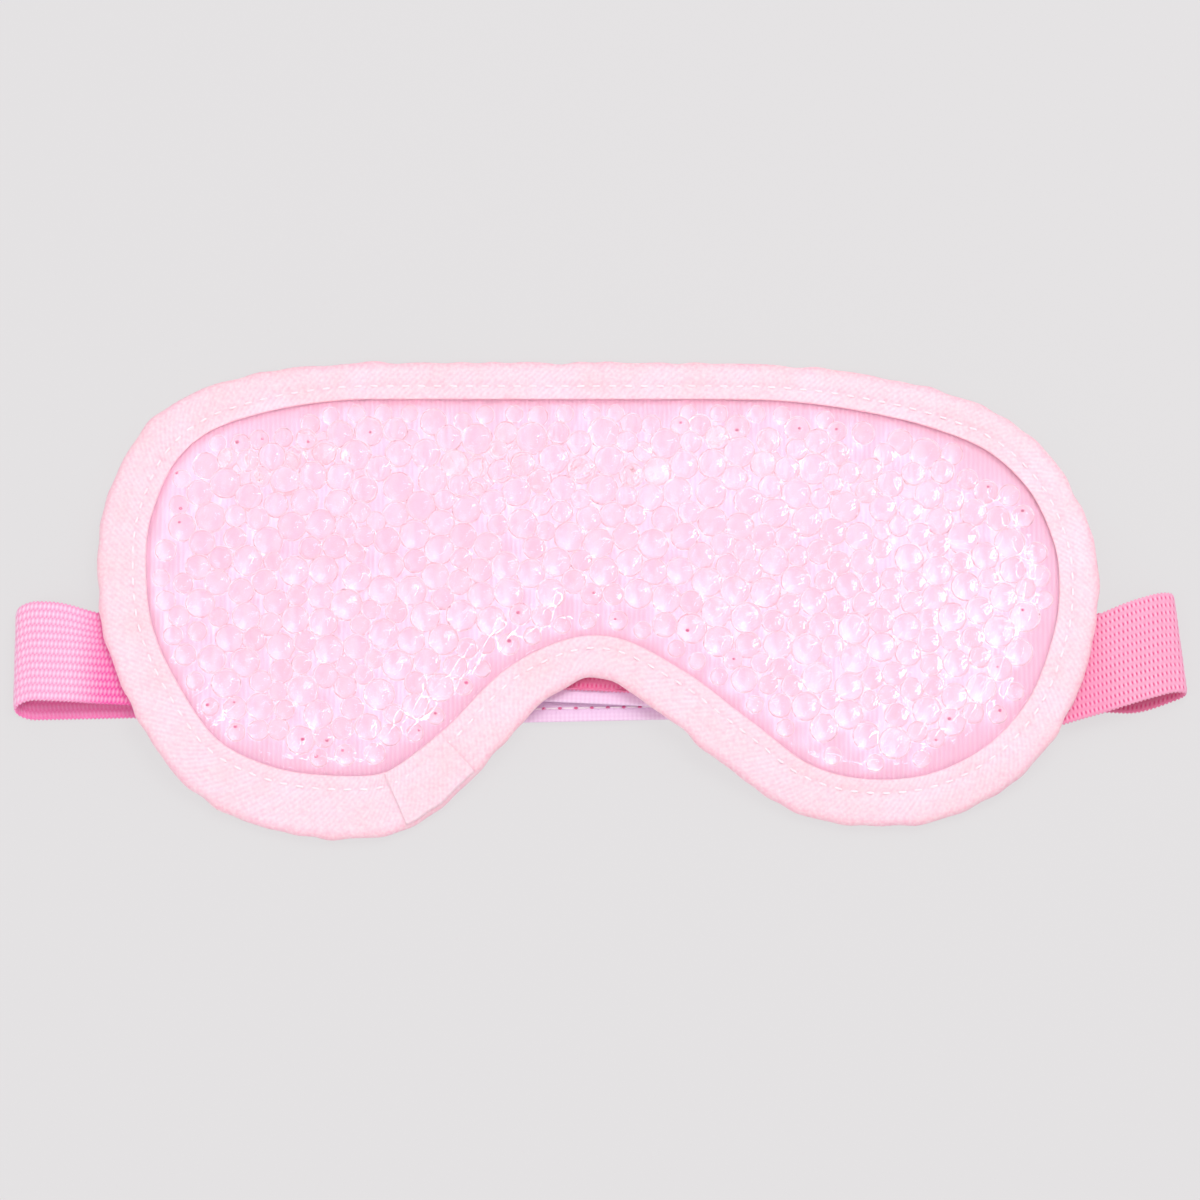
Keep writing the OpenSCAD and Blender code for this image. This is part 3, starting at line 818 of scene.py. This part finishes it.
def left_relief(s, v):
    """Rows of light dashes on the left elastic, with a dark dot between each two; near the mask it
    is darkened as a painted shadow.
    """
    row = np.floor(v / ELASTIC_PITCH + 0.5)
    across = 0.5 + 0.5 * np.cos(2 * np.pi * v / ELASTIC_PITCH)
    beat = s / 0.82 + 0.25 * v / ELASTIC_PITCH + 0.5 * (row % 2)
    dash = 0.5 + 0.5 * np.cos(2 * np.pi * beat)
    # Painted shadow of the mask's edge: the colour darkens near the mask, and the weave is pressed
    # a little deeper there
    painted_shadow = 0.38 * ease((17 - s - LOOP_TURN) / 9)
    return 0.58 + 0.42 * across * dash ** 3 - 0.34 * (1 - across) * (1 - dash) ** 2 - painted_shadow


def right_relief(s, v):
    """The other face of the elastic: rows of dark gaps with a light stitch beside each; near the
    mask it is darkened a little as a painted shadow.
    """
    row = np.floor(v / ELASTIC_PITCH + 0.5)
    across = 0.5 + 0.5 * np.cos(2 * np.pi * v / ELASTIC_PITCH)
    beat = s / 0.88 + 0.5 * (row % 2)
    gap = (0.5 + 0.5 * np.cos(2 * np.pi * beat)) ** 3
    light = (0.5 + 0.5 * np.cos(2 * np.pi * (beat + 0.4))) ** 2
    # Painted shadow of the mask's edge: the colour darkens a little near the mask, and the weave
    # is pressed slightly deeper
    painted_shadow = 0.12 * ease((15 - s - LOOP_TURN) / 9)
    return 0.54 + across ** 1.5 * (0.32 * light - 0.7 * gap) - painted_shadow


def ribbon(name, s, v, middle, thickness, relief, depth, material, picot=0.0, pattern=0.0,
           painted_shades=(1, 1)):
    """Closed strip over a middle surface; relief is pressed into both of its faces, and each
    face's colour is scaled by a painted shade factor.
    """
    gs, gv = np.meshgrid(s, v, indexing="ij")
    if picot:
        edge = ease((np.abs(gv) - ELASTIC_W / 2 + 0.7) / 0.7)
        gv = gv + np.sign(gv) * edge * picot * np.cos(2 * np.pi * (gs + pattern) / 0.8)
    mid = middle(gs, gv)
    ds = np.stack([np.gradient(mid[..., k], axis=0) for k in range(3)], -1)
    dv = np.stack([np.gradient(mid[..., k], axis=1) for k in range(3)], -1)
    normal = np.cross(ds, dv)
    normal /= np.linalg.norm(normal, axis=2)[..., None]
    value = relief(gs + pattern, gv)
    round_off = np.sqrt(np.clip(1 - (np.abs(gv) / (np.abs(v).max() + 0.02)) ** 24, 0.02, 1))
    half = (thickness / 2 - depth * (1 - np.clip(value, 0, 1))) * round_off
    upper = mid + normal * half[..., None]
    lower = mid - normal * half[..., None]
    points = np.concatenate([upper, lower[:, ::-1]], 1)
    value = np.concatenate([value * painted_shades[0], value[:, ::-1] * painted_shades[1]], 1)
    return piece(name, points, strip_faces(*gs.shape), material, relief=value)


def tail_middle(strap, heights):
    """Middle surface of a tail, s from the fold towards the middle of the mask."""
    side, turn = strap["side"], math.radians(strap["turn"])

    def middle(s, v):
        x = -side * s * math.cos(turn) + side * FOLD_X + v * side * math.sin(turn)
        y = strap["tail_y"] + s * math.sin(turn) + v * math.cos(turn)
        return np.stack([x, y, heights(s)], -1)
    return middle


def loop_middle(strap):
    """Middle surface of run, fold and tail: a flat ribbon rolled round the line of its fold."""
    side = strap["side"]
    start = np.array([side * SEWN_X, strap["run_y"][0]])
    fold = np.array([side * FOLD_X, strap["run_y"][1]])
    along = (fold - start) / np.linalg.norm(fold - start)
    across = np.array([-along[1], along[0]]) * side
    turn = math.radians(strap["turn"])
    back = np.array([-side * math.cos(turn), math.sin(turn)])
    out = along - back
    out /= np.linalg.norm(out)
    line = np.array([-out[1], out[0]]) * side
    radius = FOLD_R - ELASTIC_T / 2
    length = np.linalg.norm(fold - start)
    drop = strap["tail_y"] - strap["run_y"][1]

    def middle(s, v):
        flat = start + s[..., None] * along + v[..., None] * across
        q = (flat - fold) @ out
        t = (flat - fold) @ line
        round_q = np.clip(q, 0, np.pi * radius)
        beyond = np.maximum(0, q - np.pi * radius)
        reach = np.minimum(q, 0) + radius * np.sin(round_q / radius) - beyond
        height = radius * np.cos(round_q / radius)
        place = fold + reach[..., None] * out + t[..., None] * line
        y = place[..., 1] + drop * ease((q + 2) / (np.pi * radius + strap["slip"]))
        y = y - strap["dip"] * ease(v / ELASTIC_W * 2) * ease((-5 - q) / 11)
        swell = strap["bulge"] * ease((q + 16) / 8) * ease((1.5 - q) / 5)
        return np.stack([place[..., 0], y, FOLD_R + height + swell], -1)
    return middle, length + np.pi * radius


def tail_heights(name):
    if name == "left":
        return lambda s: np.full_like(s, ELASTIC_T / 2)
    foot, head = FOLD_X - RAMP[1], FOLD_X - RAMP[0]
    return lambda s: ELASTIC_T / 2 + RIGHT_Z * ease((s - foot) / (head - foot))


def straps():
    v = np.linspace(-ELASTIC_W / 2, ELASTIC_W / 2, 101)
    for name, strap in STRAPS.items():
        side = strap["side"]
        middle, turned = loop_middle(strap)
        s = np.arange(0, turned + FOLD_X - JOIN_X + 0.01, 0.17)
        face, material = (left_relief, LEFT_ELASTIC) if side < 0 \
            else (right_relief, RIGHT_ELASTIC)
        # The inner face of each loop is painted darker, as painted shade
        painted_shades = (INNER_PAINTED_SHADE, 1) if side < 0 else (1, INNER_PAINTED_SHADE)
        loop = ribbon(name + "_strap_loop", s, v, middle, ELASTIC_T, face, ELASTIC_DEPTH,
                      material, picot=ELASTIC_DEPTH, pattern=-turned, painted_shades=painted_shades)
        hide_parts(name + "_strap_run", name + "_strap_fold")
        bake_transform(loop)
        length = FOLD_X + strap["reach"]
        s = np.arange(FOLD_X - JOIN_X, length + 0.01, 0.25)
        # The tail's upper face, the inner side of the loop, is painted darker as painted shade
        tail = ribbon(name + "_strap_band", s, v[::-1] if side > 0 else v,
                      tail_middle(strap, tail_heights(name)), ELASTIC_T, face,
                      ELASTIC_DEPTH, material, picot=ELASTIC_DEPTH, painted_shades=(INNER_PAINTED_SHADE, 1))
        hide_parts(name + "_strap_tail", name + "_strap_end")
        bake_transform(tail)


def closures():
    """Loop tape on the left strap and hook tape under the right one."""
    half = CLOSURE_W / 2
    v = np.linspace(-half, half, 61)

    def weave(s, w):
        rib = 0.5 + 0.5 * np.cos(2 * np.pi * s / 0.9)
        return 0.55 + 0.35 * rib * ease((np.abs(w) - half + SELVEDGE) / 0.4) \
            + 0.1 * np.cos(2 * np.pi * w / 0.8)

    for name, title, length, low in (("left", "loop_tape", LOOP_LENGTH, ELASTIC_T),
                                     ("right", "hook_tape", HOOK_LENGTH, RIGHT_Z - CLOSURE_BASE)):
        strap = STRAPS[name]
        side = strap["side"]
        end = FOLD_X + strap["reach"] - 1
        s = np.arange(end - length, end + 0.01, 0.22)
        z = low + CLOSURE_BASE / 2
        middle = tail_middle(strap, lambda q, z=z: np.full_like(q, z))
        base = ribbon(title + "_base", s, v[::-1] if side > 0 else v, middle, CLOSURE_BASE,
                      weave, 0.06, TAPE)
        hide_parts(title)
        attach(base, name + "_closure")
        up = 1 if name == "left" else -1
        root = low + (CLOSURE_BASE if up > 0 else 0)
        # A field of small loops, or of hooks that are open on one side
        pitch = 1.15
        fs, fv = np.meshgrid(np.arange(end - length + 1, end - 0.8, pitch),
                             np.arange(-half + SELVEDGE + 0.4, half - SELVEDGE - 0.2, pitch),
                             indexing="ij")
        fs, fv = fs.ravel(), fv.ravel()
        fs = fs + rng.uniform(-0.2, 0.2, fs.shape)
        fv = fv + rng.uniform(-0.2, 0.2, fv.shape)
        centres = middle(fs, fv)
        centres[:, 2] = root
        bend = np.linspace(0, np.pi if up > 0 else 0.78 * np.pi, 7)
        path = np.stack([0.3 * np.cos(bend), 0 * bend, 0.42 * np.sin(bend)], 1)
        template, faces = tube(path, 0.055, 4)
        turn = rng.uniform(0, 2 * np.pi, len(fs)) if up > 0 else rng.normal(0, 0.25, len(fs))
        axes = np.zeros((len(fs), 3, 3))
        axes[:, 0, 0], axes[:, 0, 1] = np.cos(turn), np.sin(turn)
        axes[:, 1, 0], axes[:, 1, 1] = -np.sin(turn), np.cos(turn)
        axes[:, 2, 2] = up
        points, all_faces = copies(template, faces, centres, axes)
        pile = piece(title + "_pile", points, all_faces, TAPE, relief=np.full(len(points), 0.8))
        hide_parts(title)
        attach(pile, name + "_closure")
        # Two rows of stitches hold the tape
        number = int((length - 4) // STITCH_PITCH)
        at = np.repeat(end - length + 2 + (np.arange(number) + 0.5) * STITCH_PITCH, 2)
        rows = np.tile([-1, 1], number) * (ELASTIC_W / 2 - 0.2)
        centres = middle(at, rows)
        turn = math.radians(strap["turn"]) * -side
        axes = np.zeros((len(at), 3, 3))
        axes[:, 0, 0], axes[:, 0, 1] = math.cos(turn), math.sin(turn)
        axes[:, 1, 0], axes[:, 1, 1] = -math.sin(turn), math.cos(turn)
        axes[:, 2, 2] = 1
        template, faces = capsule(2.3, 0.19)
        sides = {"thread": (low + CLOSURE_BASE + 0.05 if up > 0 else low - 0.05, THREAD),
                 "thread_back": (0.12 if up > 0 else RIGHT_Z + ELASTIC_T - 0.06, PINK_THREAD)}
        for part, (z, material) in sides.items():
            row = centres.copy()
            row[:, 2] = z
            points, all_faces = copies(template, faces, row, axes)
            thread = piece(title + "_" + part, points, all_faces, material,
                           relief=np.full(len(points), 0.6))
            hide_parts(title + "_stitches")
            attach(thread, name + "_closure")
        # The needle's holes between the stitches
        gap = middle(at + STITCH_PITCH / 2, rows)
        gap[:, 2] = low + (CLOSURE_BASE if up > 0 else 0)
        template, faces = capsule(0.75, 0.26)
        template[:, 2] *= 0.4
        points, all_faces = copies(template, faces, gap, axes)
        holes = piece(title + "_holes", points, all_faces, PINK_THREAD,
                      relief=np.full(len(points), 0.1))
        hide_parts(title + "_stitches")
        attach(holes, name + "_closure")


def tacks():
    """Zigzag bars that hold the sewn ends of the elastic."""
    for name, strap in STRAPS.items():
        x = strap["side"] * (SEWN_X + 3.5)
        k = np.arange(23)
        path = np.stack([x + 1.8 * (-1.0) ** k, strap["run_y"][0] + 17 * (k / 22 - 0.5),
                         0 * k + ARCH - ELASTIC_T - 0.2], 1)
        fine = np.linspace(0, 22, 177)
        path = np.stack([np.interp(fine, k, path[:, i]) for i in range(3)], 1)
        points, faces = tube(path, 0.17)
        thread = piece(name + "_strap_bartack", points, faces, THREAD,
                       relief=np.full(len(points), 0.6))
        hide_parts(name + "_strap_tack")
        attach(thread, "mask")


def binding_lap():
    """Turned-under end of the binding, lying over its beginning."""
    xy = outline(BINDING_STEPS)[0]
    low, high = (np.array(c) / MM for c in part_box("binding_lap"))
    points, rib = binding_surface(BINDING_STEPS, lift=0.42)[:2]
    on = np.where((xy[:, 0] > low[0] - 0.5) & (xy[:, 0] < high[0] + 0.5)
                  & (xy[:, 1] < 0))[0]
    top = points[on][:, LAP_FROM:]
    below = binding_surface(BINDING_STEPS, lift=0.03)[0][on][:, LAP_FROM:]
    value = rib[on][:, LAP_FROM:]
    body = np.concatenate([top, below[:, ::-1]], 1)
    faces = strip_faces(*top.shape[:2])
    value = np.concatenate([value, value[:, ::-1]], 1)
    thing = piece("bound_edge_lap", body, faces, BINDING, relief=value)
    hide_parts("binding_lap")
    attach(thing, "mask")
    return thing


def main():
    camera()
    surroundings()
    pouch()
    beads("gel_beads_upper", UPPER, 0.97)
    beads("gel_beads_lower", LOWER, 0.97)
    bubbles()
    binding(binding_lap())
    seam("seam_needle_thread", BINDING_H + 0.02, 1.6, "needle_thread")
    seam("seam_bobbin_thread", -0.02, 1.6, "bobbin_thread")
    straps()
    closures()
    tacks()


main()
